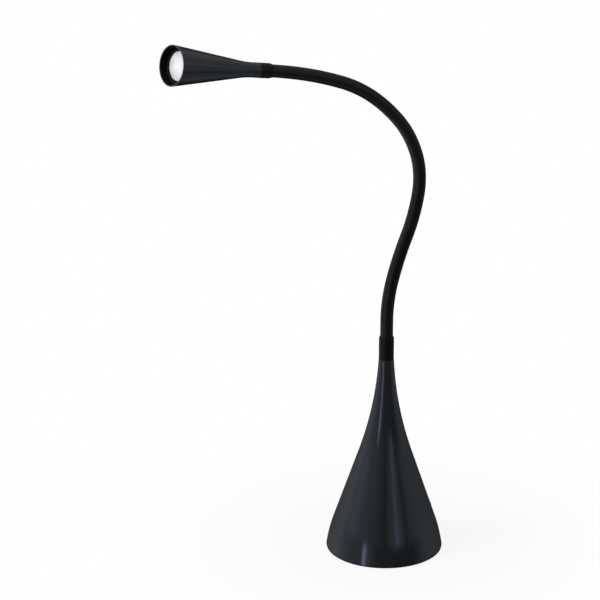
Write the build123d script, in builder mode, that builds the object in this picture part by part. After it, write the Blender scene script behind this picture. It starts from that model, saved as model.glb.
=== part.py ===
from build123d import *
from math import atan2, cos, degrees, hypot, radians, sin, tan
import os

# Gooseneck desk lamp: a weighted, flared base, a sleeved flexible neck in the XZ plane and a
# conical spot head over -X. Millimetres and degrees, +Z up, origin at the middle of the foot.

os.makedirs("parts", exist_ok=True)

# ---- Driving dimensions -------------------------------------------------------------------

# Base shell: cone with a rounded shoulder below and a long hollow blend into the neck above
base_radius = 57.8  # at table level
base_height = 203.3  # table to the seam under the lower collar
top_radius = 7.55  # at that seam
shoulder_inset = 2.6  # how far the shoulder corner stands in from the foot
shoulder_height = 16.8
waist_flare = 2.8  # how far the waist corner stands out from the top
waist_drop = 52.6  # waist corner below the seam
shoulder_share = 0.77  # of the run below the shoulder that its arc takes up
waist_share = 0.97  # of the run above the waist that its arc takes up
shell_wall = 1.5

# Foot, plate and ballast
foot_lip = 1.2  # rubber lip under the edge of the shell
foot_lip_inset = 0.5
pad_thickness = 2.0
plate_thickness = 1.5
ballast_thickness = 20.0
ballast_bore_radius = 12.0
lug_count = 3
lug_reach = 18.0
lug_width = 12.0
lug_thickness = 2.0
base_screw_radius = 2.0
base_screw_head_radius = 3.6
base_screw_head = 1.5
base_screw_inset = 13.8  # from the foot's edge in to the screws' axes

# Driver on its board
board_length = 62.0
board_width = 34.0
board_thickness = 1.6
standoff_height = 8.0
standoff_radius = 2.5
standoff_spacing_x = 54.0
standoff_spacing_y = 26.0
standoff_tip_radius = 1.5
standoff_tip = 2.0
standoff_root = 4.0
transformer_length = 18.0
transformer_width = 15.0
transformer_height = 14.0
transformer_x = -8.0
capacitor_radius = 4.5
capacitor_height = 15.0
block_length = 8.0
block_width = 14.0
block_height = 9.0
block_x = 25.0
block_screw_radius = 1.6

# Cord entry and switch at the back of the base
grommet_height = 34.0
grommet_bore_radius = 3.2
grommet_neck_radius = 5.0
grommet_flange_radius = 7.5
grommet_flange = 2.4
grommet_depth = 5.0
switch_height = 56.0
switch_length = 15.2
switch_width = 9.2
switch_depth = 14.0
bezel_length = 17.0
bezel_width = 11.0
bezel_height = 1.0
rocker_end_radius = 6.4  # from the pivot axis to the ends of the rocker
rocker_width = 6.0
rocker_drop = 4.0  # below the pivot axis
rocker_crown = 1.5  # above the pivot axis, in the middle
rocker_tilt = 10.0  # either side of level
trunnion_radius = 0.9
trunnion_length = 0.8
trunnion_depth = 0.6  # axis below the wall's outer face
well_depth = 7.0
terminal_spacing = 6.4
terminal_width = 4.8
terminal_thickness = 0.8
terminal_length = 8.0
switch_lead_radius = 1.1
switch_lead_run = 7.0  # straight back from the terminals before it turns down
switch_lead_bend = 5.0

# Collars and the ferrules swaged into the hose
collar_radius = 7.5
lower_collar_length = 23.7
upper_collar_length = 16.3
collar_taper = 3.6  # length of the rounded neck end
collar_lip = 0.25  # wall left at that end
seam_chamfer = 0.3
ferrule_flange = 2.0
ferrule_flange_radius = 6.3
ferrule_spigot = 12.0
ferrule_spigot_radius = 2.95
ferrule_stub_radius = 4.0
ferrule_bore_radius = 2.2
base_bush_length = 30.0
head_bush_length = 27.0
locknut_flats = 12.0
locknut_thickness = 5.0
stub_end = 2.0  # thread beyond the lock nut

# Neck: a straight stretch, then equal spans, each with its own turn; a turn to the left, over
# the front, is positive
neck_upright = 16.0  # straight stretch above the lower collar
neck_span = 44.55
neck_turns = (-16.7, -8.1, 14.4, 28.2, 20.2, 12.1, 14.4, 5.8, 4.9)
sideways_joints = (2, 5, 7)
bend_limit = 32.0  # most that the neck turns from one span to the next, either way
sleeve_radius = 6.4
hose_radius = 5.0
hose_bore_radius = 3.0
lead_radius = 1.8
lead_inset = 5.0  # where the lead leaves the board, from its edge
lead_bend = 60.0  # inside the base

# Head: straight tail, then a cone up to the mouth, measured from the seam with the collar
head_length = 102.7
head_tail_radius = 7.45
head_mouth_radius = 20.4
flare_start = 14.0
flare_blend = 91.0
head_wall = 1.2
mouth_lip = 0.4
bezel_recess = 7.4  # mouth to the face of the bezel
bezel_depth = 6.8
bezel_lip = 0.8
window_radius = 14.4
lens_radius = 15.3
lens_thickness = 2.0
lens_chamfer = 0.4
cup_depth = 6.2
cup_rim = 1.0
cup_wall = 1.0
cup_throat_radius = 7.0
cup_mouth_radius = 13.8
led_board_radius = 13.5
led_board_thickness = 1.6
emitter_radius = 5.5
emitter_thickness = 0.8
heatsink_length = 26.0
heatsink_plate = 7.0
heatsink_core_radius = 5.5
heatsink_lead_hole = 2.6
fin_slots = 10
fin_slot_width = 2.2

# Clearances
fit_gap = 0.05  # between pieces that are pressed, brazed, screwed or seated in each other
slip_gap = 0.2  # round pieces that drop in
board_gap = 1.2  # between the parts on the driver board, and from them to its edge
pivot_gap = 0.05  # rocker's trunnions in the housing
hole_gap = 0.3  # screws in clearance holes
joint_gap = 0.3  # between hose spans where the neck is bent furthest


def placed(builder, name):
    """Label a finished piece and write its file."""
    builder.part.label = name
    export_step(builder.part, f"parts/{name}.step")


# ---- Base shell ---------------------------------------------------------------------------

shoulder_radius = base_radius - shoulder_inset
waist_radius = top_radius + waist_flare
waist_height = base_height - waist_drop
flank_angle = degrees(atan2(shoulder_radius - waist_radius, waist_height - shoulder_height))
edge_angle = degrees(atan2(shoulder_inset, shoulder_height))
tail_angle = degrees(atan2(waist_flare, waist_drop))
shoulder_arc = (
    shoulder_share * hypot(shoulder_inset, shoulder_height) / tan(radians(flank_angle - edge_angle) / 2)
)
waist_arc = waist_share * hypot(waist_flare, waist_drop) / tan(radians(flank_angle - tail_angle) / 2)


def flank(inset):
    """The base's side, from the table up to the seam, moved in by inset."""
    return FilletPolyline(
        (base_radius - inset, 0),
        (shoulder_radius - inset, shoulder_height),
        (waist_radius - inset, waist_height),
        (top_radius - inset, base_height),
        radius=[shoulder_arc, waist_arc],
    )


# Two plain forms to cut other pieces with: all that the side encloses, and the space in the shell
with BuildPart() as base_form:
    with BuildSketch(Plane.XZ):
        with BuildLine():
            side = flank(0)
            Polyline(side @ 1, (0, base_height), (0, 0), side @ 0)
        make_face()
    revolve(axis=Axis.Z)

with BuildPart() as base_hollow:
    with BuildSketch(Plane.XZ):
        with BuildLine():
            side = flank(shell_wall + fit_gap)
            Polyline(side @ 1, (0, base_height), (0, 0), side @ 0)
        make_face()
    revolve(axis=Axis.Z)


def rear_plane(height):
    """Plane on the back of the shell: x across it, y up its slope, z straight out."""
    radius = shoulder_radius - (height - shoulder_height) * tan(radians(flank_angle))
    outward = (cos(radians(flank_angle)), 0, sin(radians(flank_angle)))
    return Plane(origin=(radius, 0, height), x_dir=(0, 1, 0), z_dir=outward)


grommet_plane = rear_plane(grommet_height)
switch_plane = rear_plane(switch_height)

with BuildPart() as base_shell:
    with BuildSketch(Plane.XZ):
        with BuildLine():
            outside = flank(0)
            inside = flank(shell_wall)
            Line(outside @ 0, inside @ 0)
            Line(outside @ 1, inside @ 1)
        make_face()
    revolve(axis=Axis.Z)
    split(bisect_by=Plane.XY.offset(foot_lip), keep=Keep.TOP)
    # Openings for the cord and the switch
    with BuildSketch(grommet_plane):
        Circle(grommet_neck_radius)
    extrude(amount=2 * grommet_depth, both=True, mode=Mode.SUBTRACT)
    with BuildSketch(switch_plane):
        Rectangle(switch_width + 2 * slip_gap, switch_length + 2 * slip_gap)
    extrude(amount=switch_depth / 2, both=True, mode=Mode.SUBTRACT)
placed(base_shell, "base_shell")

# ---- Foot, plate, ballast and what holds them ---------------------------------------------

plate_top = pad_thickness + plate_thickness
ballast_top = plate_top + ballast_thickness
lug_top = ballast_top + lug_thickness
seat_radius = shoulder_radius - shell_wall
base_screw_circle = base_radius - base_screw_inset


def lug_ring(radius):
    """Places of the lugs and of their screws, none of them at the back or the front."""
    return PolarLocations(radius, lug_count, start_angle=60)


with BuildPart() as foot_pad:
    with BuildSketch():
        Circle(base_radius - foot_lip_inset)
    extrude(amount=foot_lip)
    with BuildSketch(Plane.XY.offset(foot_lip)):
        Circle(base_radius - shoulder_inset - shell_wall)
    extrude(amount=pad_thickness - foot_lip)
    with BuildSketch():
        with lug_ring(base_screw_circle):
            Circle(base_screw_head_radius + hole_gap)
    extrude(amount=pad_thickness, mode=Mode.SUBTRACT)
placed(foot_pad, "foot_pad")

with BuildPart() as base_plate:
    with BuildSketch(Plane.XY.offset(pad_thickness)):
        Circle(seat_radius - slip_gap)
        with lug_ring(base_screw_circle):
            Circle(base_screw_radius + hole_gap, mode=Mode.SUBTRACT)
    extrude(amount=plate_thickness)
    fillet(base_plate.edges().filter_by(GeomType.CIRCLE).group_by(SortBy.RADIUS)[-1], 0.4)
placed(base_plate, "base_plate")

with BuildPart() as ballast_weight:
    with BuildSketch(Plane.XY.offset(plate_top)):
        Circle(base_radius)
        Circle(ballast_bore_radius, mode=Mode.SUBTRACT)
        with lug_ring(base_screw_circle):
            Circle(base_screw_radius + hole_gap, mode=Mode.SUBTRACT)
    extrude(amount=ballast_thickness)
    with BuildSketch(Plane.XY.offset(ballast_top)):
        with GridLocations(standoff_spacing_x, standoff_spacing_y, 2, 2):
            Circle(standoff_tip_radius)
    extrude(amount=-standoff_root, mode=Mode.SUBTRACT)
    add(base_hollow.part, mode=Mode.INTERSECT)
placed(ballast_weight, "ballast_weight")

with BuildPart() as shell_lugs:
    with BuildSketch(Plane.XY.offset(ballast_top)):
        with lug_ring(base_radius - lug_reach / 2):
            Rectangle(lug_reach, lug_width)
        with lug_ring(base_screw_circle):
            Circle(base_screw_radius, mode=Mode.SUBTRACT)
    extrude(amount=lug_thickness)
    add(base_hollow.part, mode=Mode.INTERSECT)
placed(shell_lugs, "shell_lugs")

with BuildPart() as base_screws:
    with BuildSketch(Plane.XY.offset(pad_thickness)):
        with lug_ring(base_screw_circle):
            Circle(base_screw_radius)
    extrude(amount=lug_top - pad_thickness)
    with BuildSketch(Plane.XY.offset(pad_thickness)):
        with lug_ring(base_screw_circle):
            Circle(base_screw_head_radius)
    extrude(amount=-base_screw_head)
    chamfer(base_screws.faces().group_by(Axis.Z)[0].edges(), 0.4)
    # Cross recess in each head
    with BuildSketch(Plane.XY.offset(pad_thickness - base_screw_head)):
        with lug_ring(base_screw_circle):
            Rectangle(base_screw_head_radius, 0.9)
            Rectangle(0.9, base_screw_head_radius)
    extrude(amount=base_screw_head * 0.6, mode=Mode.SUBTRACT)
placed(base_screws, "base_screws")

# ---- Driver -------------------------------------------------------------------------------

board_bottom = ballast_top + standoff_height
board_top = board_bottom + board_thickness

with BuildPart() as board_standoffs:
    # Nylon posts: a root pressed into the ballast, a shoulder, and a tip snapped into the board
    with BuildSketch(Plane.XY.offset(ballast_top - standoff_root)):
        with GridLocations(standoff_spacing_x, standoff_spacing_y, 2, 2):
            Circle(standoff_tip_radius)
    extrude(amount=standoff_root + standoff_height + board_thickness + standoff_tip)
    chamfer(board_standoffs.faces().group_by(Axis.Z)[-1].edges(), standoff_tip_radius / 2)
    with BuildSketch(Plane.XY.offset(ballast_top)):
        with GridLocations(standoff_spacing_x, standoff_spacing_y, 2, 2):
            Circle(standoff_radius)
    extrude(amount=standoff_height)
placed(board_standoffs, "board_standoffs")

with BuildPart() as driver_board:
    with BuildSketch(Plane.XY.offset(board_bottom)):
        RectangleRounded(board_length, board_width, 2)
        with GridLocations(standoff_spacing_x, standoff_spacing_y, 2, 2):
            Circle(standoff_tip_radius, mode=Mode.SUBTRACT)
    extrude(amount=board_thickness)
placed(driver_board, "driver_board")

with BuildPart() as driver_transformer:
    # Ferrite core with the winding standing proud of it on two sides
    with BuildSketch(Plane.XY.offset(board_top)):
        with Locations((transformer_x, 0)):
            Rectangle(transformer_length, transformer_width)
    extrude(amount=transformer_height)
    fillet(driver_transformer.edges().filter_by(Axis.Z), 1)
    with BuildSketch(Plane.XY.offset(board_top + transformer_height / 4)):
        with Locations((transformer_x, 0)):
            RectangleRounded(transformer_length * 0.6, transformer_width + 4, 3)
    extrude(amount=transformer_height / 2)
placed(driver_transformer, "driver_transformer")

capacitor_y = board_width / 2 - board_gap - capacitor_radius
capacitor_x = transformer_x + transformer_length / 2 + board_gap + capacitor_radius
left_capacitor_x = transformer_x - transformer_length / 2 - board_gap - capacitor_radius

with BuildPart() as driver_capacitors:
    with BuildSketch(Plane.XY.offset(board_top)):
        with Locations(
            (capacitor_x, capacitor_y),
            (capacitor_x + 2 * capacitor_radius, -capacitor_y),
            (left_capacitor_x, -capacitor_y / 2),
        ):
            Circle(capacitor_radius)
    extrude(amount=capacitor_height)
    fillet(driver_capacitors.faces().group_by(Axis.Z)[-1].edges(), 0.8)
placed(driver_capacitors, "driver_capacitors")

with BuildPart() as terminal_block:
    with BuildSketch(Plane.XY.offset(board_top)):
        with Locations((block_x, 0)):
            Rectangle(block_length, block_width)
    extrude(amount=block_height)
    with BuildSketch(Plane.XY.offset(board_top + block_height)):
        with Locations((block_x, 0)):
            with GridLocations(0, block_width / 2, 1, 2):
                Circle(block_screw_radius)
    extrude(amount=-block_height / 2, mode=Mode.SUBTRACT)
placed(terminal_block, "terminal_block")

# ---- Cord entry ---------------------------------------------------------------------------

with BuildPart() as cord_grommet:
    # Rubber grommet: its groove is filled by the wall of the shell
    with BuildSketch(grommet_plane.offset(grommet_flange)):
        Circle(grommet_flange_radius)
        Circle(grommet_bore_radius, mode=Mode.SUBTRACT)
    extrude(amount=-grommet_flange - grommet_depth)
    fillet(cord_grommet.edges().group_by(Axis(grommet_plane.origin, grommet_plane.z_dir))[-1], 0.8)
    add(base_shell.part, mode=Mode.SUBTRACT)
placed(cord_grommet, "cord_grommet")

# ---- Rocker switch ------------------------------------------------------------------------

pivot_plane = switch_plane.offset(-trunnion_depth)
well_length = 2 * (rocker_end_radius + hole_gap)
well_width = rocker_width + 2 * slip_gap
rocker_half = rocker_end_radius * cos(radians(25))

with BuildPart() as switch_housing:
    with BuildSketch(switch_plane.offset(-bezel_height)):
        RectangleRounded(bezel_width, bezel_length, 1.5)
    extrude(amount=2 * bezel_height)
    fillet(switch_housing.edges().group_by(Axis(switch_plane.origin, switch_plane.z_dir))[-1], 0.5)
    add(base_form.part, mode=Mode.SUBTRACT)
    with BuildSketch(switch_plane.offset(bezel_height / 2)):
        Rectangle(switch_width, switch_length)
    extrude(amount=-switch_depth - bezel_height / 2)
    with BuildSketch(switch_plane.offset(bezel_height)):
        Rectangle(well_width, well_length)
    extrude(amount=-well_depth - bezel_height, mode=Mode.SUBTRACT)
    # Sockets for the rocker's trunnions
    with BuildSketch(Plane(pivot_plane.origin, x_dir=pivot_plane.y_dir, z_dir=pivot_plane.x_dir)):
        Circle(trunnion_radius + pivot_gap)
    extrude(amount=rocker_width / 2 + trunnion_length + slip_gap, both=True, mode=Mode.SUBTRACT)
placed(switch_housing, "switch_housing")

# The rocker stands tilted on its trunnions: its upper end is pressed in
rocker_side = Plane(
    pivot_plane.origin,
    x_dir=Vector(pivot_plane.y_dir).rotate(Axis((0, 0, 0), pivot_plane.x_dir), -rocker_tilt),
    z_dir=pivot_plane.x_dir,
)

with BuildPart() as switch_rocker:
    with BuildSketch(rocker_side):
        end_height = rocker_crown + rocker_half * tan(radians(rocker_tilt))
        end_along = (rocker_end_radius**2 - end_height**2) ** 0.5
        foot_along = (rocker_end_radius**2 - (rocker_drop / 2) ** 2) ** 0.5
        with BuildLine():
            Polyline((-end_along, end_height), (0, rocker_crown), (end_along, end_height))
            RadiusArc((end_along, end_height), (foot_along, -rocker_drop / 2), rocker_end_radius)
            Polyline(
                (foot_along, -rocker_drop / 2),
                (foot_along / 2, -rocker_drop),
                (-foot_along / 2, -rocker_drop),
                (-foot_along, -rocker_drop / 2),
            )
            RadiusArc((-foot_along, -rocker_drop / 2), (-end_along, end_height), rocker_end_radius)
        make_face()
    extrude(amount=rocker_width / 2, both=True)
    with BuildSketch(rocker_side):
        Circle(trunnion_radius)
    extrude(amount=rocker_width / 2 + trunnion_length, both=True)
placed(switch_rocker, "switch_rocker")

terminal_plane = switch_plane.offset(-switch_depth)
with BuildPart() as switch_terminals:
    with BuildSketch(terminal_plane):
        with GridLocations(terminal_spacing, 0, 2, 1):
            Rectangle(terminal_thickness, terminal_width)
    extrude(amount=-terminal_length)
placed(switch_terminals, "switch_terminals")

with BuildPart() as switch_leads:
    tip = switch_plane.origin - switch_plane.z_dir * (switch_depth + terminal_length)
    turn_in = tip - switch_plane.z_dir * switch_lead_run
    for side in (-1, 1):
        with BuildLine(Plane.XZ.offset(-side * terminal_spacing / 2)) as lead_route:
            FilletPolyline(
                (tip.X, tip.Z),
                (turn_in.X, turn_in.Z),
                (turn_in.X, board_top),
                radius=switch_lead_bend,
            )
        with BuildSketch(Plane(origin=lead_route.line @ 0, z_dir=lead_route.line % 0)):
            Circle(switch_lead_radius)
        sweep()
placed(switch_leads, "switch_leads")

# ---- Neck centreline ----------------------------------------------------------------------

# Distances run along the centreline from the hose's lower end, on the flange of its ferrule
span_count = len(neck_turns)
lower_run = lower_collar_length - ferrule_flange + neck_upright
upper_run = upper_collar_length - ferrule_flange
stretches = [(lower_run, 0.0)] + [(neck_span, turn) for turn in neck_turns] + [(upper_run, 0.0)]
hose_length = sum(length for length, turn in stretches)


def station(distance):
    """Place on the centreline: x, z and heading in degrees from +X."""
    x, z, heading = 0.0, base_height + ferrule_flange, 90.0
    for length, turn in stretches:
        step = min(distance, length)
        swing = turn * step / length
        chord = step * sin(radians(swing) / 2) / (radians(swing) / 2) if swing else step
        x += chord * cos(radians(heading + swing / 2))
        z += chord * sin(radians(heading + swing / 2))
        heading += swing
        distance -= step
        if distance <= 0:
            break
    return x, z, heading


def neck_route(start, end):
    """Draw the centreline's lines and arcs between two distances."""
    begins = 0.0
    for length, turn in stretches:
        low, high = max(start, begins), min(end, begins + length)
        begins += length
        if high - low < 1e-6:
            continue
        x, z, heading = station(low)
        ahead = (cos(radians(heading)), sin(radians(heading)))
        if turn:
            swing = turn * (high - low) / length
            JernArc((x, z), ahead, length / radians(abs(turn)), swing)
        else:
            Line((x, z), (x + ahead[0] * (high - low), z + ahead[1] * (high - low)))


def joint_distance(joint):
    """Distance of a joint, counted from 1; 0 and the last are the hose's two ends."""
    if joint == 0:
        return 0.0
    if joint == span_count:
        return hose_length
    return lower_run + joint * neck_span


def joint_swing(joint):
    """The furthest that a joint turns from rest."""
    if joint in sideways_joints:
        return bend_limit
    return bend_limit + abs(neck_turns[joint - 1] + neck_turns[joint]) / 2


def hose_half_gap(joint):
    """Half the gap between two hose spans, which closes when the joint is bent furthest."""
    if joint in (0, span_count):
        return 0.0
    return hose_radius * tan(radians(joint_swing(joint)) / 2) + joint_gap / 2


for span in range(1, span_count + 1):
    low = joint_distance(span - 1)
    high = joint_distance(span)

    with BuildPart() as neck_hose:
        with BuildLine(Plane.XZ) as route:
            neck_route(low + hose_half_gap(span - 1), high - hose_half_gap(span))
        with BuildSketch(Plane(origin=route.line @ 0, z_dir=route.line % 0)):
            Circle(hose_radius)
            Circle(hose_bore_radius, mode=Mode.SUBTRACT)
        sweep()
    placed(neck_hose, f"neck_hose_{span}")

    with BuildPart() as neck_sleeve:
        with BuildLine(Plane.XZ) as route:
            neck_route(low, high)
        with BuildSketch(Plane(origin=route.line @ 0, z_dir=route.line % 0)):
            Circle(sleeve_radius)
            Circle(hose_radius, mode=Mode.SUBTRACT)
        sweep()
    placed(neck_sleeve, f"neck_sleeve_{span}")

    with BuildPart() as neck_lead:
        with BuildLine(Plane.XZ) as route:
            neck_route(low, high)
        with BuildSketch(Plane(origin=route.line @ 0, z_dir=route.line % 0)):
            Circle(lead_radius)
        sweep()
    placed(neck_lead, f"neck_lead_{span}")

# ---- Lower end of the neck ----------------------------------------------------------------


def collar_section(length):
    """Draw the half section of a collar standing on its seam, its bore a slip fit on the sleeve."""
    bore_radius = sleeve_radius + slip_gap / 2
    Polyline(
        (bore_radius + collar_lip, length),
        (bore_radius, length),
        (bore_radius, 0),
        (collar_radius - seam_chamfer, 0),
        (collar_radius, seam_chamfer),
        (collar_radius, length - collar_taper),
    )
    TangentArc((collar_radius, length - collar_taper), (bore_radius + collar_lip, length), tangent=(0, 1))


def ferrule_outline(bush_length):
    """Half section of a ferrule: threaded stub under the seam, flange, and spigot in the hose."""
    stub_low = -(bush_length + locknut_thickness + stub_end)
    return [
        (ferrule_bore_radius, stub_low),
        (ferrule_stub_radius, stub_low),
        (ferrule_stub_radius, 0),
        (ferrule_flange_radius, 0),
        (ferrule_flange_radius, ferrule_flange),
        (ferrule_spigot_radius, ferrule_flange),
        (ferrule_spigot_radius, ferrule_flange + ferrule_spigot),
        (ferrule_bore_radius, ferrule_flange + ferrule_spigot),
    ]


seam_section = Plane(origin=(0, 0, base_height), x_dir=(1, 0, 0), z_dir=(0, -1, 0))

with BuildPart() as lower_collar:
    with BuildSketch(seam_section):
        with BuildLine():
            collar_section(lower_collar_length)
        make_face()
    revolve(axis=Axis.Z)
placed(lower_collar, "lower_collar")

with BuildPart() as base_ferrule:
    with BuildSketch(seam_section):
        with BuildLine():
            Polyline(*ferrule_outline(base_bush_length), close=True)
        make_face()
    revolve(axis=Axis.Z)
placed(base_ferrule, "base_ferrule")

with BuildPart() as neck_bush:
    with BuildSketch(Plane.XY.offset(base_height - base_bush_length)):
        Circle(base_radius)
        Circle(ferrule_stub_radius + fit_gap, mode=Mode.SUBTRACT)
    extrude(amount=base_bush_length)
    add(base_hollow.part, mode=Mode.INTERSECT)
placed(neck_bush, "neck_bush")

with BuildPart() as ferrule_locknut:
    with BuildSketch(Plane.XY.offset(base_height - base_bush_length)):
        RegularPolygon(locknut_flats / 2, 6, major_radius=False)
        Circle(ferrule_stub_radius + fit_gap, mode=Mode.SUBTRACT)
    extrude(amount=-locknut_thickness)
placed(ferrule_locknut, "ferrule_locknut")

with BuildPart() as base_lead:
    # From the board, up the middle of the cone and into the ferrule
    lead_x = -board_length / 2 + lead_inset
    with BuildLine(Plane.XZ) as lead_route:
        FilletPolyline(
            (lead_x, board_top),
            (lead_x, board_top + base_height / 5),
            (0, base_height * 0.64),
            (0, base_height + ferrule_flange),
            radius=lead_bend,
        )
    with BuildSketch(Plane(origin=lead_route.line @ 0, z_dir=lead_route.line % 0)):
        Circle(lead_radius)
    sweep()
placed(base_lead, "base_lead")

# ---- Head ---------------------------------------------------------------------------------

# Distances in the head run along its axis from the seam with the upper collar
tail_x, tail_z, tail_heading = station(hose_length)
head_direction = Vector(cos(radians(tail_heading)), 0, sin(radians(tail_heading)))
head_origin = Vector(tail_x, 0, tail_z) + head_direction * ferrule_flange
head_axis = Axis(head_origin, head_direction)
across = Vector(-head_direction.Z, 0, head_direction.X)
head_section = Plane(origin=head_origin, x_dir=across, z_dir=head_direction.cross(across) * -1)
flare_slope = (head_mouth_radius - head_tail_radius) / (head_length - flare_start)


def head_plane(distance):
    """Plane across the head's axis, facing the mouth."""
    return Plane(origin=head_origin + head_direction * distance, x_dir=(0, 1, 0), z_dir=head_direction)


def head_flank(inset):
    """The head's side in its section, radius across and distance up, moved in by inset."""
    return FilletPolyline(
        (head_tail_radius - inset, 0),
        (head_tail_radius - inset, flare_start),
        (head_mouth_radius - inset, head_length),
        radius=flare_blend,
    )


with BuildPart() as head_hollow:
    with BuildSketch(head_section):
        with BuildLine():
            side = head_flank(head_wall + fit_gap)
            Polyline(side @ 1, (0, head_length), (0, 0), side @ 0)
        make_face()
    revolve(axis=head_axis)

with BuildPart() as head_shell:
    with BuildSketch(head_section):
        with BuildLine():
            outside = head_flank(0)
            inside = head_flank(head_wall)
            Line(outside @ 0, inside @ 0)
            Line(outside @ 1, inside @ 1)
        make_face()
    revolve(axis=head_axis)
    fillet(head_shell.edges().group_by(head_axis)[-1], mouth_lip)
placed(head_shell, "head_shell")

# Seen from the head, the collar and the ferrule stand on the seam and point down the neck
tail_section = Plane(origin=head_origin, x_dir=across, z_dir=head_direction.cross(across))

with BuildPart() as upper_collar:
    with BuildSketch(tail_section):
        with BuildLine():
            collar_section(upper_collar_length)
        make_face()
    revolve(axis=head_axis)
placed(upper_collar, "upper_collar")

with BuildPart() as head_ferrule:
    with BuildSketch(tail_section):
        with BuildLine():
            Polyline(*ferrule_outline(head_bush_length), close=True)
        make_face()
    revolve(axis=head_axis)
placed(head_ferrule, "head_ferrule")

with BuildPart() as head_bush:
    with BuildSketch(head_plane(0)):
        Circle(head_mouth_radius)
        Circle(ferrule_stub_radius + fit_gap, mode=Mode.SUBTRACT)
    extrude(amount=head_bush_length)
    add(head_hollow.part, mode=Mode.INTERSECT)
placed(head_bush, "head_bush")

with BuildPart() as head_locknut:
    with BuildSketch(head_plane(head_bush_length)):
        RegularPolygon(locknut_flats / 2, 6, major_radius=False)
        Circle(ferrule_stub_radius + fit_gap, mode=Mode.SUBTRACT)
    extrude(amount=locknut_thickness)
placed(head_locknut, "head_locknut")

# ---- Light source, stacked back from the mouth ---------------------------------------------

bezel_face = head_length - bezel_recess
lens_front = bezel_face - bezel_lip
cup_front = lens_front - lens_thickness
board_front = cup_front - cup_depth
board_back = board_front - led_board_thickness
heatsink_back = board_back - heatsink_length

with BuildPart() as lens_bezel:
    with BuildSketch(head_plane(bezel_face - bezel_depth)):
        Circle(head_mouth_radius)
        Circle(lens_radius + slip_gap / 2, mode=Mode.SUBTRACT)
    extrude(amount=bezel_depth - bezel_lip)
    with BuildSketch(head_plane(lens_front)):
        Circle(head_mouth_radius)
        Circle(window_radius, mode=Mode.SUBTRACT)
    extrude(amount=bezel_lip)
    add(head_hollow.part, mode=Mode.INTERSECT)
placed(lens_bezel, "lens_bezel")

with BuildPart() as lens:
    with BuildSketch(head_plane(lens_front)):
        Circle(lens_radius)
    extrude(amount=-lens_thickness)
    chamfer(lens.edges(), lens_chamfer)
placed(lens, "lens")

with BuildPart() as reflector_cup:
    with BuildSketch(head_section):
        with BuildLine():
            Polyline(
                (cup_throat_radius, board_front),
                (cup_throat_radius + cup_wall, board_front),
                (cup_mouth_radius + cup_wall, cup_front - cup_rim),
                (lens_radius, cup_front - cup_rim),
                (lens_radius, cup_front),
                (cup_mouth_radius, cup_front),
                close=True,
            )
        make_face()
    revolve(axis=head_axis)
placed(reflector_cup, "reflector_cup")

with BuildPart() as led_board:
    with BuildSketch(head_plane(board_back)):
        Circle(led_board_radius)
        Circle(heatsink_lead_hole, mode=Mode.SUBTRACT)
    extrude(amount=led_board_thickness)
placed(led_board, "led_board")

with BuildPart() as led_emitter:
    with BuildSketch(head_plane(board_front)):
        Circle(emitter_radius)
    extrude(amount=emitter_thickness)
placed(led_emitter, "led_emitter")

with BuildPart() as heatsink:
    with BuildSketch(head_plane(heatsink_back)):
        Circle(head_mouth_radius)
    extrude(amount=heatsink_length)
    add(head_hollow.part, mode=Mode.INTERSECT)
    with BuildSketch(head_plane(heatsink_back)):
        Circle(heatsink_lead_hole)
    extrude(amount=heatsink_length, mode=Mode.SUBTRACT)
    # Slots between the fins, open at the back and the side
    with BuildSketch(head_plane(heatsink_back)):
        with PolarLocations(heatsink_core_radius + head_mouth_radius / 2, fin_slots):
            Rectangle(head_mouth_radius, fin_slot_width)
    extrude(amount=heatsink_length - heatsink_plate, mode=Mode.SUBTRACT)
placed(heatsink, "heatsink")

with BuildPart() as head_lead:
    with BuildSketch(head_plane(-ferrule_flange)):
        Circle(lead_radius)
    extrude(amount=board_front + ferrule_flange)
placed(head_lead, "head_lead")
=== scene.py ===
import math

import bmesh
import bpy
from mathutils import Matrix, Vector


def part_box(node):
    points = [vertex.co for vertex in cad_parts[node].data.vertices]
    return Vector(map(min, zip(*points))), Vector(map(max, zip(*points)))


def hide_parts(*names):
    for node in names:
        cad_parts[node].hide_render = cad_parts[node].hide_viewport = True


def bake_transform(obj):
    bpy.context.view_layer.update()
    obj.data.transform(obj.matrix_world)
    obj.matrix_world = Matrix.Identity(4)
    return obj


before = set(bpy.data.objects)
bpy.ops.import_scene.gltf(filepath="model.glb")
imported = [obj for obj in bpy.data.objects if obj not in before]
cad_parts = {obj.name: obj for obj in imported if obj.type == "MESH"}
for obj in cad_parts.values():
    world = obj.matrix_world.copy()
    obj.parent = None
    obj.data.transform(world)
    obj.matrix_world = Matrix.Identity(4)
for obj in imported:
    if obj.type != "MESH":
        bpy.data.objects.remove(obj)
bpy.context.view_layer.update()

# ---- Camera -------------------------------------------------------------------------------
# A long lens nine metres from the lamp, looking a little down on it from the front left.
# The lamp stands right of the frame's middle, so the camera is slid sideways and not turned.

sensor_width = 0.036
frame_pixels = 600
focal_pixels = 9000
camera_distance = 9.0
foot_pixel = (383.99, 544.06)  # where the middle of the foot falls in the frame
azimuth, pitch, roll = math.radians(-34.0), math.radians(23.3777), 0.0082223

back = Vector((
    math.sin(azimuth) * math.cos(pitch),
    -math.cos(azimuth) * math.cos(pitch),
    math.sin(pitch),
))
level = Vector((math.cos(azimuth), math.sin(azimuth), 0))
right = level * math.cos(roll) + back.cross(level) * math.sin(roll)
up = back.cross(right)
metres_per_pixel = camera_distance / focal_pixels
slide = right * (frame_pixels / 2 - foot_pixel[0]) + up * (foot_pixel[1] - frame_pixels / 2)

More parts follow.
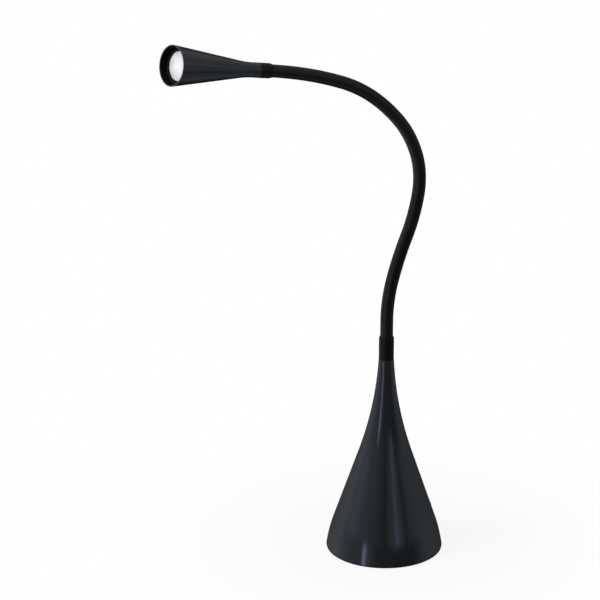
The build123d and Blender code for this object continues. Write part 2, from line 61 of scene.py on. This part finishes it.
millimetres = 1000  # the camera takes its sensor and lens in these
camera_data = bpy.data.cameras.new("camera")
camera_data.sensor_width = sensor_width * millimetres
camera_data.lens = focal_pixels / frame_pixels * sensor_width * millimetres
camera_data.clip_start, camera_data.clip_end = 1.0, 60.0
camera = bpy.data.objects.new("camera", camera_data)
bpy.context.scene.collection.objects.link(camera)
turn = Matrix((right, up, back)).transposed().to_4x4()
camera.matrix_world = Matrix.Translation(back * camera_distance + slide * metres_per_pixel) @ turn
bpy.context.scene.camera = camera
bpy.context.scene.view_settings.view_transform = "Standard"

# ---- Foot pad -----------------------------------------------------------------------------
# Moulded rubber disc glued under the steel plate, with a thin lip that carries the shell's
# edge. It is matte, lightly pebbled by the mould, and greyed by dust where it meets the table.


class Wire:
    """A shader socket that Python's operators work on, so that 1 - dust adds its Math node."""

    def __init__(self, tree, socket=None):
        self.tree, self.socket = tree, socket

    def node(self, kind, settings=None, inputs=None, out=0):
        """Add a node: its settings are set first, then each input gets a value or a link."""
        made = self.tree.nodes.new(kind)
        for name, value in (settings or {}).items():
            if name == "stops":
                ramp = made.color_ramp
                while len(ramp.elements) < len(value):
                    ramp.elements.new(0.5)
                for element, (place, colour) in zip(ramp.elements, value):
                    element.position = place
                    element.color = (*colour, 1)
            else:
                setattr(made, name, value)
        for name, value in (inputs or {}).items():
            socket = made.inputs[name]
            if isinstance(value, Wire):
                self.tree.links.new(value.socket, socket)
            elif isinstance(value, tuple) and socket.type == "RGBA":
                socket.default_value = (*value, 1)
            else:
                socket.default_value = value
        return Wire(self.tree, made.outputs[out] if made.outputs else None)

    def math(self, operation, *values):
        """Add a Math node on these values, each a number or a socket."""
        return self.node("ShaderNodeMath", {"operation": operation}, dict(enumerate(values)))

    def __add__(self, other):
        return self.math("ADD", self, other)

    def __radd__(self, other):
        return self.math("ADD", other, self)

    def __sub__(self, other):
        return self.math("SUBTRACT", self, other)

    def __rsub__(self, other):
        return self.math("SUBTRACT", other, self)

    def __mul__(self, other):
        return self.math("MULTIPLY", self, other)

    def __rmul__(self, other):
        return self.math("MULTIPLY", other, self)

    def between(self, low, high):
        """0 at low, 1 at high, the same beyond them, and a smooth step from one to the other."""
        return self.node(
            "ShaderNodeMapRange",
            {"interpolation_type": "SMOOTHSTEP"},
            {"Value": self, "From Min": low, "From Max": high},
        )

    def mix(self, first, second):
        """The first colour where this is 0 and the second where it is 1. A Mix node has its
        colours at inputs 6 and 7 and at output 2."""
        return self.node(
            "ShaderNodeMix", {"data_type": "RGBA"}, {"Factor": self, 6: first, 7: second}, out=2
        )

    def noise(self, scale, detail=2.0):
        """Cloudy pattern from 0 to 1, with features 1 / scale metres apart."""
        return self.node("ShaderNodeTexNoise", {}, {"Vector": self, "Scale": scale, "Detail": detail})

    def cells(self, scale):
        """Distance to the nearest of many scattered points, 1 / scale metres apart."""
        return self.node("ShaderNodeTexVoronoi", {}, {"Vector": self, "Scale": scale})

    def vector(self, operation, inputs, out=0):
        """Add a Vector Math node. A dot product, a length or a distance comes out at 1."""
        return self.node("ShaderNodeVectorMath", {"operation": operation}, inputs, out)

    def height(self):
        """The Z coordinate, in metres."""
        return self.node("ShaderNodeSeparateXYZ", {}, {0: self}, out=2)


def new_material(name):
    """An empty node material, and the place on the object, in metres, to draw its patterns on."""
    material = bpy.data.materials.new(name)
    material.use_nodes = True
    material.node_tree.nodes.clear()
    place = Wire(material.node_tree).node("ShaderNodeTexCoord", out="Object")
    return material, place


def principled(material, relief, depth, **sockets):
    """A Principled BSDF with relief from 0 to 1, and the depth in metres that 1 stands for."""
    tree = Wire(material.node_tree)
    inputs = {name.replace("_", " "): value for name, value in sockets.items()}
    inputs["Normal"] = tree.node(
        "ShaderNodeBump", {}, {"Height": relief, "Distance": depth, "Strength": 1.0}
    )
    return tree.node("ShaderNodeBsdfPrincipled", {}, inputs)


def set_surface(material, **finish):
    """Finish a material with one Principled BSDF, given its relief, depth and sockets."""
    surface = principled(material, **finish)
    surface.node("ShaderNodeOutputMaterial", {}, {"Surface": surface})


def paint_node(name, material):
    """Give a CAD node a material in place of the plain one that it was packed with."""
    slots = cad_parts[name].data.materials
    slots.clear()
    slots.append(material)


rubber, place = new_material("foot_rubber")
dust = place.noise(90).between(0.45, 0.75)
set_surface(
    rubber, relief=place.cells(1600), depth=0.00006,
    Base_Color=dust.mix((0.0016, 0.0016, 0.0016), (0.0060, 0.0058, 0.0056)),
    Roughness=0.72 + dust * 0.18, Specular_IOR_Level=0.15,
)
paint_node("foot_pad", rubber)

# ---- Plate, lugs and screws ---------------------------------------------------------------
# The plate is blanked from mild steel and, like the lugs inside the shell and the screws that
# join them, zinc plated: a grey metal with a faint spangle and the scuffs of handling.

zinc, place = new_material("zinc_steel")
spangle = place.cells(260)
scuff = place.noise(1400, 4.0).between(0.55, 0.75)
set_surface(
    zinc, relief=scuff, depth=0.00002,
    Base_Color=spangle.mix((0.50, 0.50, 0.49), (0.66, 0.67, 0.68)),
    Roughness=0.34 + spangle * 0.15 + scuff * 0.1, Metallic=0.95 - scuff * 0.1,
)
for name in ("base_plate", "shell_lugs", "base_screws"):
    paint_node(name, zinc)

# ---- Ballast ------------------------------------------------------------------------------
# A ring of grey cast iron that keeps the lamp standing when the neck is bent right over.
# It is left as it comes out of the sand, rough and dark, with the first brown of rust.

iron, place = new_material("cast_iron")
sand = place.noise(700, 6.0)
rust = place.noise(60, 3.0).between(0.55, 0.8)
set_surface(
    iron, relief=sand, depth=0.0004,
    Base_Color=(rust * 0.6).mix((0.085, 0.082, 0.080), (0.16, 0.075, 0.035)),
    Roughness=0.6 + sand * 0.3, Metallic=0.8 - rust * 0.7,
)
paint_node("ballast_weight", iron)

# ---- Driver -------------------------------------------------------------------------------
# The driver stands on nylon posts over the ballast: an epoxy board with a copper pattern under
# green lacquer, a taped transformer, three capacitors in black film and a terminal block.

nylon, place = new_material("nylon_white")
flow = place.noise(350)
set_surface(
    nylon, relief=flow, depth=0.00002,
    Base_Color=flow.mix((0.70, 0.69, 0.64), (0.80, 0.79, 0.75)),
    Roughness=0.42 + flow * 0.12, Subsurface_Weight=0.05, Subsurface_Scale=0.002,
)
paint_node("board_standoffs", nylon)

lacquer, place = new_material("board_green")
tracks = place.node(
    "ShaderNodeTexBrick",
    {"offset": 0.35},
    {"Vector": place, "Scale": 120.0, "Mortar Size": 0.12, "Brick Width": 1.4, "Row Height": 0.5},
    out="Fac",
)
set_surface(
    lacquer, relief=tracks, depth=0.00004,
    Base_Color=tracks.mix((0.012, 0.12, 0.040), (0.030, 0.22, 0.080)),
    Roughness=0.30 + place.noise(500) * 0.15, Coat_Weight=0.3,
)
paint_node("driver_board", lacquer)

# The yellow tape goes round the winding, the middle half of the transformer's height
tape, place = new_material("core_tape")
core_bottom, core_top = (corner.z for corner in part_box("driver_transformer"))
winding_half, tape_edge = (core_top - core_bottom) / 4, 0.0001
from_middle = place.height() - (core_bottom + core_top) / 2
from_middle = from_middle.math("ABSOLUTE", from_middle)
winding = from_middle.between(winding_half + tape_edge, winding_half - tape_edge)
wraps = place.node("ShaderNodeTexWave", {"bands_direction": "Z"}, {"Vector": place, "Scale": 350.0})
set_surface(
    tape, relief=wraps * winding, depth=0.00005,
    Base_Color=winding.mix((0.045, 0.043, 0.042), (0.62, 0.40, 0.05)),
    Roughness=0.55 - winding * 0.2 + wraps * 0.05,
)
paint_node("driver_transformer", tape)

# The film is shrunk round each can's side and leaves its top bare
film, place = new_material("capacitor_black")
film_end, bare_start = 0.0006, 0.0002  # below the can's top
can_top = (place.height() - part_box("driver_capacitors")[1].z).between(-film_end, -bare_start)
set_surface(
    film, relief=place.noise(400), depth=0.00002,
    Base_Color=can_top.mix((0.022, 0.022, 0.026), (0.55, 0.55, 0.56)),
    Roughness=0.28 + place.noise(300) * 0.12, Metallic=can_top * 0.8,
)
paint_node("driver_capacitors", film)

block, place = new_material("terminal_green")
grain = place.noise(900)
set_surface(
    block, relief=grain, depth=0.00003,
    Base_Color=grain.mix((0.030, 0.22, 0.085), (0.050, 0.30, 0.12)),
    Roughness=0.40 + grain * 0.15,
)
paint_node("terminal_block", block)

# ---- Leads --------------------------------------------------------------------------------
# Round flex in white sheathing: one runs up through the neck to the head, and two short
# single cores join the switch to the board. The sheath is soft, slightly yellowed and smooth.

sheath, place = new_material("lead_white")
age = place.noise(40)
set_surface(
    sheath, relief=place.noise(1500), depth=0.00002,
    Base_Color=age.mix((0.66, 0.65, 0.60), (0.74, 0.73, 0.70)),
    Roughness=0.45 + age * 0.1,
)
for name in ("base_lead", "switch_leads", "head_lead"):
    paint_node(name, sheath)

# ---- Base shell ---------------------------------------------------------------------------
# One spun steel shell, trumpet shaped, sprayed graphite and lacquered. The finish is smooth and
# half glossy, with the faint orange peel of sprayed paint.


def graphite(material, place):
    """Sprayed graphite: a soft bluish shine, faint orange peel and faint cloudiness."""
    cloud = place.noise(22, 3.0).between(0.3, 0.7)
    return principled(
        material, relief=place.noise(700, 1.0), depth=0.00001,
        Base_Color=cloud.mix((0.0094, 0.0102, 0.0082), (0.0112, 0.0122, 0.0102)),
        Roughness=0.13 + cloud * 0.03, Specular_IOR_Level=0.54, Specular_Tint=(0.65, 0.76, 0.98),
    )


shell_paint, place = new_material("shell_paint")
sprayed = graphite(shell_paint, place)
sprayed.node("ShaderNodeOutputMaterial", {}, {"Surface": sprayed})
paint_node("base_shell", shell_paint)

# ---- Cord entry ---------------------------------------------------------------------------
# A soft black grommet, moulded from the same rubber as the foot. It is pushed into a hole low
# on the back of the shell, and its groove grips the sheet.

paint_node("cord_grommet", rubber)

# ---- Switch -------------------------------------------------------------------------------
# A rocker switch clipped into the back of the shell: moulded nylon, finely spark eroded on the
# face, with brass tabs at the back that the leads push onto.

switch_plastic, place = new_material("switch_black")
erosion = place.noise(2600, 3.0)
set_surface(
    switch_plastic, relief=erosion, depth=0.00003,
    Base_Color=erosion.mix((0.012, 0.012, 0.013), (0.022, 0.022, 0.023)),
    Roughness=0.45 + erosion * 0.15,
)
for name in ("switch_housing", "switch_rocker"):
    paint_node(name, switch_plastic)

brass, place = new_material("brass")
tarnish = place.noise(180, 3.0)
set_surface(
    brass, relief=place.noise(2000), depth=0.00001,
    Base_Color=tarnish.mix((0.72, 0.50, 0.20), (0.50, 0.33, 0.14)),
    Roughness=0.28 + tarnish * 0.25, Metallic=1.0,
)
paint_node("switch_terminals", brass)

# ---- Ends of the hose ---------------------------------------------------------------------
# Turned steel ferrules swaged into the hose's ends. Each passes through a bush brazed into its
# shell, brass in the base and aluminium in the head, and a lock nut holds it from inside.

for name in ("base_ferrule", "ferrule_locknut", "head_ferrule", "head_locknut"):
    paint_node(name, zinc)
paint_node("neck_bush", brass)

aluminium, place = new_material("heatsink_aluminium")
mill = place.noise(900, 4.0)
set_surface(
    aluminium, relief=mill, depth=0.00002,
    Base_Color=mill.mix((0.62, 0.62, 0.63), (0.76, 0.76, 0.77)),
    Roughness=0.30 + mill * 0.2, Metallic=0.95,
)
paint_node("head_bush", aluminium)

# ---- Neck ---------------------------------------------------------------------------------
# A steel hose wound from strip, drawn through a smooth black rubber tube, with the lead inside.
# Each is one length in the real lamp, so every layer here is swept in one smooth curve across each
# hinge.

hose_foot = Vector((0, 0, 0.2053))
lower_run, upper_run = 0.0377, 0.0143  # the straight ends of the hose
span = 0.04455  # length of each arc between them
turns = (-16.7, -8.1, 14.4, 28.2, 20.2, 12.1, 14.4, 5.8, 4.9)  # of each arc, in degrees
joints = len(turns) - 1
bend_reach = 0.0215  # a length on either side of a hinge
tube_step = 0.0012  # between two rings of a tube
crease_angle = math.radians(35)  # a sharper edge isn't shaded smooth


def half_arcs(joint):
    """The lengths and turns of the centreline before a hinge and after it, each half an arc.
    The first piece starts at the hose's foot and the last one goes on to its end."""
    turn_before, turn_after = math.radians(turns[joint - 1]), math.radians(turns[joint])
    before, after = [(span / 2, turn_before / 2)], [(span / 2, turn_after / 2)]
    if joint == 1:
        before = [(lower_run, 0.0), (span, turn_before)]
    if joint == joints:
        after = [(span, turn_after), (upper_run, 0.0)]
    return before, after


def heading_vector(heading):
    """The direction in the neck's upright plane at this angle from +X towards +Z."""
    return Vector((math.cos(heading), 0, math.sin(heading)))


def step_along(point, heading, length, turn):
    """Where a line or an arc of that length and turn ends."""
    chord = length * math.sin(turn / 2) / (turn / 2) if turn else length
    return point + heading_vector(heading + turn / 2) * chord, heading + turn


def follow(point, heading, runs):
    """Where a row of lines and arcs ends."""
    for length, turn in runs:
        point, heading = step_along(point, heading, length, turn)
    return point, heading


def sweep_tube(bm, radius, sides, point, heading, runs, waist=0.0):
    """Carry a ring along lines and arcs, and give the edges of the first and the last ring.
    Every other ring is drawn in by waist, as on a wound hose."""
    facing = heading_vector(heading).to_track_quat("Z", "Y").to_matrix().to_4x4()
    start = Matrix.Translation(point) @ facing
    ring = bmesh.ops.create_circle(bm, segments=sides, radius=radius, matrix=start)
    loop = list(dict.fromkeys(edge for vert in ring["verts"] for edge in vert.link_edges))
    first, rings = loop, 0
    for length, turn in runs:
        steps = max(2, 2 * round(length / tube_step / 2))  # even, so that a run ends on a full ring
        for _ in range(steps):
            new = bmesh.ops.extrude_edge_only(bm, edges=loop)["geom"]
            verts = [part for part in new if isinstance(part, bmesh.types.BMVert)]
            loop = [part for part in new if isinstance(part, bmesh.types.BMEdge)]
            there, after = step_along(point, heading, length / steps, turn / steps)
            tilt = Matrix.Rotation(heading - after, 4, "Y")
            move = Matrix.Translation(there) @ tilt @ Matrix.Translation(-point)
            bmesh.ops.transform(bm, matrix=move, verts=verts)
            point, heading, rings = there, after, rings + 1
            if waist:
                share = (radius - waist) / radius if rings % 2 else radius / (radius - waist)
                for vert in verts:
                    vert.co = point + (vert.co - point) * share
    return first, loop


def link_piece(name, bm, material):
    """Make a piece of a finished bmesh, its object at the origin."""
    bmesh.ops.remove_doubles(bm, verts=bm.verts, dist=1e-6)
    bmesh.ops.recalc_face_normals(bm, faces=bm.faces)
    for face in bm.faces:
        face.smooth = True
    for edge in bm.edges:
        if len(edge.link_faces) == 2 and edge.calc_face_angle(0) > crease_angle:
            edge.smooth = False
    mesh = bpy.data.meshes.new(name)
    bm.to_mesh(mesh)
    bm.free()
    mesh.materials.append(material)
    piece = bpy.data.objects.new(name, mesh)
    bpy.context.scene.collection.objects.link(piece)
    return piece


sleeve_rubber, place = new_material("sleeve_rubber")
bloom = place.noise(45, 3.0).between(0.35, 0.75)
fine = place.noise(2400)
set_surface(
    sleeve_rubber, relief=fine, depth=0.00002,
    Base_Color=bloom.mix((0.0013, 0.0014, 0.0011), (0.0020, 0.0021, 0.0018)),
    Roughness=0.28 + bloom * 0.06 + fine * 0.04, Specular_IOR_Level=0.25,
)

hose_steel, place = new_material("hose_steel")
strip = place.noise(300, 3.0)
set_surface(
    hose_steel, relief=strip, depth=0.00002,
    Base_Color=strip.mix((0.42, 0.42, 0.43), (0.56, 0.56, 0.57)),
    Roughness=0.28 + strip * 0.2, Metallic=1.0,
)

# Each layer: outer and bore radius, sides, how far every other ring is drawn in, material, slot
layers = {
    "sleeve": (0.0064, 0.00505, 56, 0.0, sleeve_rubber, "sleeve_rubber"),
    "hose": (0.0050, 0.0031, 32, 0.0004, hose_steel, "hose_steel"),
    "lead": (0.0018, None, 16, 0.0, sheath, "lead_white"),
}
neck_point, neck_heading = hose_foot, math.pi / 2
for joint in range(1, joints + 1):
    before, after = half_arcs(joint)
    hinge, hinge_heading = follow(neck_point, neck_heading, before)
    reach = heading_vector(hinge_heading) * bend_reach
    for layer, (outer, bore, sides, waist, material, slot) in layers.items():
        bm = bmesh.new()
        low, high = sweep_tube(bm, outer, sides, neck_point, neck_heading, before + after, waist)
        if bore:
            low_bore, high_bore = sweep_tube(bm, bore, sides, neck_point, neck_heading, before + after)
            bmesh.ops.bridge_loops(bm, edges=low + low_bore)
            bmesh.ops.bridge_loops(bm, edges=high + high_bore)
        else:
            bmesh.ops.contextual_create(bm, geom=low)
            bmesh.ops.contextual_create(bm, geom=high)
        piece = link_piece(f"{layer}_bend_{joint}", bm, material)
        replaced = [f"neck_{layer}_{joint}"]
        if joint == joints:
            replaced.append(f"neck_{layer}_{joint + 1}")
        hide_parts(*replaced)
        hinge - reach
        hinge + reach
        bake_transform(piece)
    neck_point, neck_heading = follow(hinge, hinge_heading, after)

# ---- Collars ------------------------------------------------------------------------------
# Two short tubes turned from aluminium and anodised black, slipped over the ends of the rubber
# and up against the shells. The fine marks of the tool are left under a dull finish.

collar_black, place = new_material("collar_black")
dull = place.noise(120, 3.0)
set_surface(
    collar_black, relief=place.noise(1800), depth=0.00001,
    Base_Color=dull.mix((0.0014, 0.0015, 0.0012), (0.0020, 0.0021, 0.0018)),
    Roughness=0.26 + dull * 0.06, Specular_IOR_Level=0.16,
)
for name in ("lower_collar", "upper_collar"):
    paint_node(name, collar_black)

# ---- Head shell ---------------------------------------------------------------------------
# A slim aluminium cone with a straight tail, spun in one piece and sprayed like the base. Its
# inside is blackened against glare, and the edge of its mouth carries a painted highlight: a light grey
# line.

head_length, flare_start = 0.1027, 0.0140  # from the collar's seam
tail_radius, mouth_radius = 0.00745, 0.0204
ferrule_flange = 0.0020  # between the hose's end and that seam
paint_depth, bare_depth = 0.0006, 0.0010  # below the outside, where spray gives way to black
rim_highlight_start, rim_highlight_full = 0.0005, 0.0002  # back from the mouth, where the painted highlight on the edge begins and where it is full

head_axis = heading_vector(neck_heading)
collar_seam = neck_point + head_axis * ferrule_flange


def head_polar(place):
    """How far a place is along the head's axis from the collar's seam, and how far off it."""
    from_seam = place.vector("SUBTRACT", {0: place, 1: collar_seam})
    along = place.vector("DOT_PRODUCT", {0: from_seam, 1: head_axis}, out=1)
    on_axis = place.vector("SCALE", {0: head_axis, "Scale": along})
    off_axis = place.vector("DISTANCE", {0: from_seam, 1: on_axis}, out=1)
    return along, off_axis


head_paint, place = new_material("head_paint")
along, off_axis = head_polar(place)
flare = (mouth_radius - tail_radius) / (head_length - flare_start)
outside = tail_radius + (along - flare_start) * flare
inside = (outside - off_axis).between(paint_depth, bare_depth)
# Painted highlight: the mouth's edge turns light grey and shinier, as if it caught the light
rim_highlight = (along - head_length).between(-rim_highlight_start, -rim_highlight_full)
sprayed = graphite(head_paint, place)
blacking_and_rim_highlight = principled(
    head_paint, relief=place.noise(1800), depth=0.00002,
    Base_Color=rim_highlight.mix((0.0009, 0.0009, 0.0007), (0.080, 0.081, 0.082)),
    Roughness=0.8 - rim_highlight * 0.45, Specular_IOR_Level=0.10,
)
# The black inside and the painted highlight on the mouth's edge both take the blacking's surface
inside_and_rim_highlight = inside.math("MAXIMUM", inside, rim_highlight)
surface = inside_and_rim_highlight.node("ShaderNodeMixShader", {}, {0: inside_and_rim_highlight, 1: sprayed, 2: blacking_and_rim_highlight})
surface.node("ShaderNodeOutputMaterial", {}, {"Surface": surface})
paint_node("head_shell", head_paint)

# ---- Light source -------------------------------------------------------------------------
# Stacked back from the mouth: a black bezel ring, a frosted disc, a white cup and the emitter
# on its board, which is bonded to the finned heatsink.

bezel_black, place = new_material("bezel_black")
grain = place.noise(1500)
set_surface(
    bezel_black, relief=grain, depth=0.00003,
    Base_Color=grain.mix((0.0015, 0.0015, 0.0014), (0.0026, 0.0026, 0.0025)),
    Roughness=0.65 + grain * 0.15, Specular_IOR_Level=0.25,
)
paint_node("lens_bezel", bezel_black)

# The disc is moulded with fine prisms under the frosting, and towards its edge it is greyed with painted
# shade, the shade of the bezel and the head's wall
frost, place = new_material("lens_frost")
lens_shade_start, lens_shade_full = 0.002, 0.016  # off the head's axis, where the painted shade begins and where it is full
prisms = place.cells(620)
haze = place.noise(230, 4.0).between(0.32, 0.66)
speckle = haze * 0.35 + prisms * 0.65
_, off_axis = head_polar(place)
middle_white = speckle.mix((0.85, 0.845, 0.84), (0.98, 0.98, 0.98))
# Painted shade: the disc's colour is darker towards its edge, as if the bezel shaded it
edge_painted_shade = speckle.mix((0.56, 0.555, 0.55), (0.76, 0.755, 0.75))
set_surface(
    frost, relief=prisms, depth=0.00005,
    Base_Color=off_axis.between(lens_shade_start, lens_shade_full).mix(middle_white, edge_painted_shade),
    Roughness=0.42 + haze * 0.15,
)
paint_node("lens", frost)

cup, place = new_material("cup_white")
gloss = place.noise(200)
set_surface(
    cup, relief=gloss, depth=0.00001,
    Base_Color=gloss.mix((0.86, 0.86, 0.84), (0.92, 0.92, 0.90)),
    Roughness=0.2 + gloss * 0.1,
)
paint_node("reflector_cup", cup)

mask_white, place = new_material("board_white")
ink = place.noise(600)
set_surface(
    mask_white, relief=ink, depth=0.00001,
    Base_Color=ink.mix((0.80, 0.80, 0.78), (0.88, 0.88, 0.86)),
    Roughness=0.35 + ink * 0.1,
)
paint_node("led_board", mask_white)

phosphor, place = new_material("emitter_phosphor")
dots = place.cells(900)
set_surface(
    phosphor, relief=dots, depth=0.00003,
    Base_Color=dots.mix((0.85, 0.62, 0.10), (0.90, 0.74, 0.25)),
    Roughness=0.5 + dots * 0.1,
)
paint_node("led_emitter", phosphor)
paint_node("heatsink", aluminium)

# ---- Floor --------------------------------------------------------------------------------
# A pale disc that the lamp stands on. It fades into the white around it and keeps the lamp's
# shadow. It is open under the foot and clear from below, so that the underside can be seen.

floor_radius, foot_opening = 0.9, 0.055
fade_start, fade_end = 0.08, 0.30  # from the middle of the foot
white_at_foot = 0.88  # share of plain white that the camera sees there, over the lit surface

bm = bmesh.new()
for radius in (floor_radius, foot_opening):
    bmesh.ops.create_circle(bm, segments=128, radius=radius)
bmesh.ops.bridge_loops(bm, edges=bm.edges)

floor_material, place = new_material("floor")
distance = place.vector("LENGTH", {0: place}, out=1)
fade = white_at_foot + distance.between(fade_start, fade_end) * (1 - white_at_foot)
seen = place.node("ShaderNodeLightPath", out="Is Camera Ray")
lit = place.node("ShaderNodeBsdfDiffuse", {}, {"Color": (0.86, 0.86, 0.86)})
white = place.node("ShaderNodeEmission", {}, {"Color": (1, 1, 1), "Strength": 1.0})
top_face = place.node("ShaderNodeMixShader", {}, {0: seen * fade, 1: lit, 2: white})
underneath = place.node("ShaderNodeNewGeometry", out="Backfacing")
clear = place.node("ShaderNodeBsdfTransparent")
surface = place.node("ShaderNodeMixShader", {}, {0: underneath, 1: top_face, 2: clear})
surface.node("ShaderNodeOutputMaterial", {}, {"Surface": surface})

floor = link_piece("floor", bm, floor_material)
floor.data.flip_normals()  # a flat sheet's recalculated normals face down
floor.visible_glossy = False

# ---- Light --------------------------------------------------------------------------------
# A white studio: bright panels on the left, dimmer ones on the right, a dark gap where the
# camera stands, and a soft lamp overhead on the left that draws the shadow.

world = bpy.data.worlds.new("studio")
bpy.context.scene.world = world
world.use_nodes = True
world.node_tree.nodes.clear()
direction = Wire(world.node_tree).node("ShaderNodeTexCoord", out="Generated")
front = Vector((back.x, back.y, 0)).normalized()
forward = direction.vector("DOT_PRODUCT", {0: direction, 1: front}, out=1)
sideways = direction.vector("DOT_PRODUCT", {0: direction, 1: level}, out=1)
bearing = direction.math("ARCTAN2", sideways, forward) * (1 / math.tau) + 0.5


def panels(*strengths):
    """Brightness all round the lamp, from pairs of a bearing in degrees right of the camera
    and a strength."""
    tint = Vector((0.96, 0.98, 1.08))
    stops = [(degrees / 360 + 0.5, tint * strength) for degrees, strength in strengths]
    return bearing.node("ShaderNodeValToRGB", {"stops": stops}, {"Fac": bearing})


walls = panels(
    (-180, 0.09), (-150, 0.17), (-130, 0.44), (-116, 0.78), (-100, 1.12), (-84, 1.14), (-72, 0.86),
    (-60, 0.58), (-44, 0.43), (-28, 0.35), (-12, 0.26), (-6, 0.18), (-2, 0.10), (4, 0.09), (7, 0.32),
    (14, 0.38), (22, 0.50), (26, 1.10), (31, 0.86), (36, 0.54), (43, 0.46), (46, 0.18), (49, 0.18),
    (56, 0.32), (70, 0.56), (90, 0.70), (104, 0.42), (120, 0.24), (144, 0.10), (180, 0.09),
)
skirt = panels(
    (-180, 0.06), (-150, 0.12), (-132, 0.30), (-120, 0.46), (-108, 0.66), (-84, 0.57), (-64, 0.42),
    (-52, 0.38), (-44, 0.48), (-42, 3.6), (-39, 3.6), (-36, 0.70), (-28, 0.50), (-22, 0.28), (-15, 0.12),
    (50, 0.12), (58, 0.14), (66, 0.20), (76, 0.34), (92, 0.48), (104, 0.38), (120, 0.25),
    (144, 0.08), (180, 0.06),
)
table = panels(
    (-180, 0.02), (-144, 0.20), (-125, 0.55), (-106, 0.80), (-67, 0.89), (-29, 0.52), (0, 0.36),
    (29, 0.18), (60, 0.08), (97, 0.095), (144, 0.05), (180, 0.02),
)
under_table = panels(
    (-180, 0.0), (-160, 0.05), (-140, 0.35), (-110, 0.75), (-60, 0.70), (-20, 0.35), (30, 0.28),
    (110, 0.29), (150, 0.02), (180, 0.0),
)
ceiling = (0.50, 0.50, 0.50)

# Where one band fades into the next, as the sine of the angle above the horizon
height = direction.height()
above = height.between(0.03, 0.12).mix(skirt, walls)
under = height.between(-0.41, -0.48).mix(table, under_table)
around = height.between(-0.33, -0.39).mix(above, under)
studio = height.between(0.25, 0.42).mix(around, ceiling)
seen = studio.node("ShaderNodeLightPath", out="Is Camera Ray")
shown = studio.node("ShaderNodeBackground", {}, {"Color": seen.mix(studio, (1, 1, 1)), "Strength": 1.0})
shown.node("ShaderNodeOutputWorld", {}, {"Surface": shown})

lamp_forward, lamp_left, lamp_height = 0.6, 1.6, 2.0  # from the foot, as the camera sees it
lit_point = Vector((0, 0, 0.3))
lamp_data = bpy.data.lights.new("key", "AREA")
lamp_data.shape, lamp_data.size, lamp_data.energy = "DISK", 1.2, 30
lamp = bpy.data.objects.new("key", lamp_data)
bpy.context.scene.collection.objects.link(lamp)
lamp_place = front * lamp_forward - level * lamp_left + Vector((0, 0, lamp_height))
aim = (lamp_place - lit_point).to_track_quat("Z", "Y").to_matrix().to_4x4()
lamp.matrix_world = Matrix.Translation(lamp_place) @ aim
